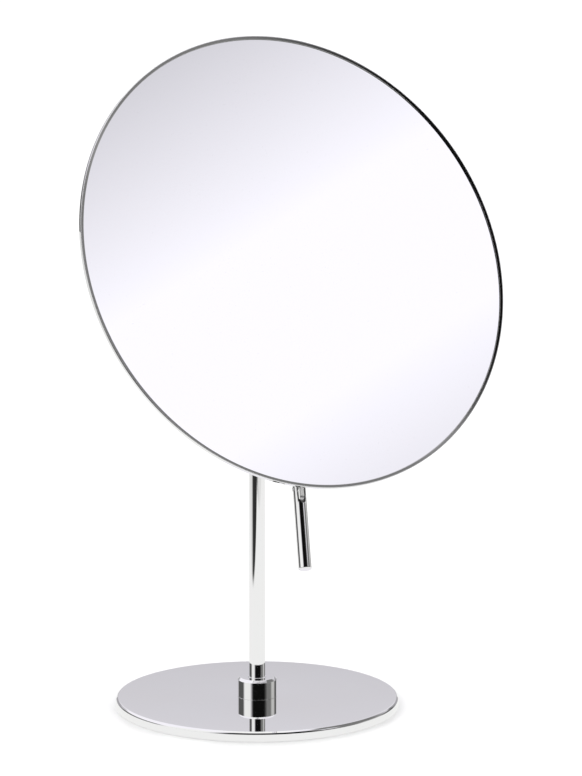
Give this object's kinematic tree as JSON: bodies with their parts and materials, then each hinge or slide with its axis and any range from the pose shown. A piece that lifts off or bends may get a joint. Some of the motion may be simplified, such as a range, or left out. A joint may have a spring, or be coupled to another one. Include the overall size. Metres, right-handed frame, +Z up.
{
  "type": "countertop mirror",
  "caption": "Round plain mirror in a thin chromed rim with a short rod handle, on a ball joint and a slim chromed post rising from a flat round foot.",
  "frame": {"origin": "centre of the foot's underside, where it rests on the counter", "axes": "+Z up along the post, -Y the way the mirror faces, +X to the right when looking along +Y at the mirror"},
  "size_m": [0.23, 0.1662, 0.3326],
  "materials": {
    "chrome": "polished chrome plate",
    "pan": "chrome plate over spun steel, a little softer than the turned pieces",
    "steel": "zinc-bright turned steel",
    "mirror": "silvered float glass",
    "nylon": "natural nylon",
    "rubber": "matt black rubber",
    "foam": "dark closed-cell foam"
  },
  "bodies": {
    "stand": {"foot_pad": "rubber", "base_plate": "chrome", "base_screw": "steel", "lock_washer": "steel", "base_collar": "chrome", "collar_set_screw": "steel", "post_tube": "chrome", "post_foot_plug": "steel", "post_head": "chrome", "head_set_screw": "steel", "ball_stud": "steel", "stud_locknut": "steel"},
    "yaw_liner": {"ball_liner_front": "nylon"},
    "tilt_liner": {"ball_liner_rear": "nylon"},
    "mirror_head": {"socket_housing": "chrome", "pressure_pad": "steel", "disc_spring": "steel", "hub_plate": "steel", "hub_screw_1": "steel", "hub_screw_2": "steel", "hub_screw_3": "steel", "hub_screw_4": "steel", "back_pan": "pan", "rim_ring": "chrome", "mirror_glass": "mirror", "glass_gasket": "rubber", "backing_pad": "foam", "handle_bracket": "steel", "bracket_plate": "steel", "bracket_screw_1": "steel", "bracket_screw_2": "steel", "handle_rod": "chrome", "handle_pin": "steel"}
  },
  "joints": [
    {"name": "mirror_yaw", "type": "hinge", "parent": "stand", "child": "yaw_liner", "pos_m": [0, -0.0216, 0.2227], "axis": [0, 0, 1], "range_deg": [-20, 20]},
    {"name": "mirror_tilt", "type": "hinge", "parent": "yaw_liner", "child": "tilt_liner", "pos_m": [0, -0.0216, 0.2227], "axis": [-1, 0, 0], "range_deg": [-31.5, 10.5]},
    {"name": "mirror_spin", "type": "hinge", "parent": "tilt_liner", "child": "mirror_head", "pos_m": [0, -0.0216, 0.2227], "axis": [0, -0.887, 0.4617], "continuous": true}
  ]
}
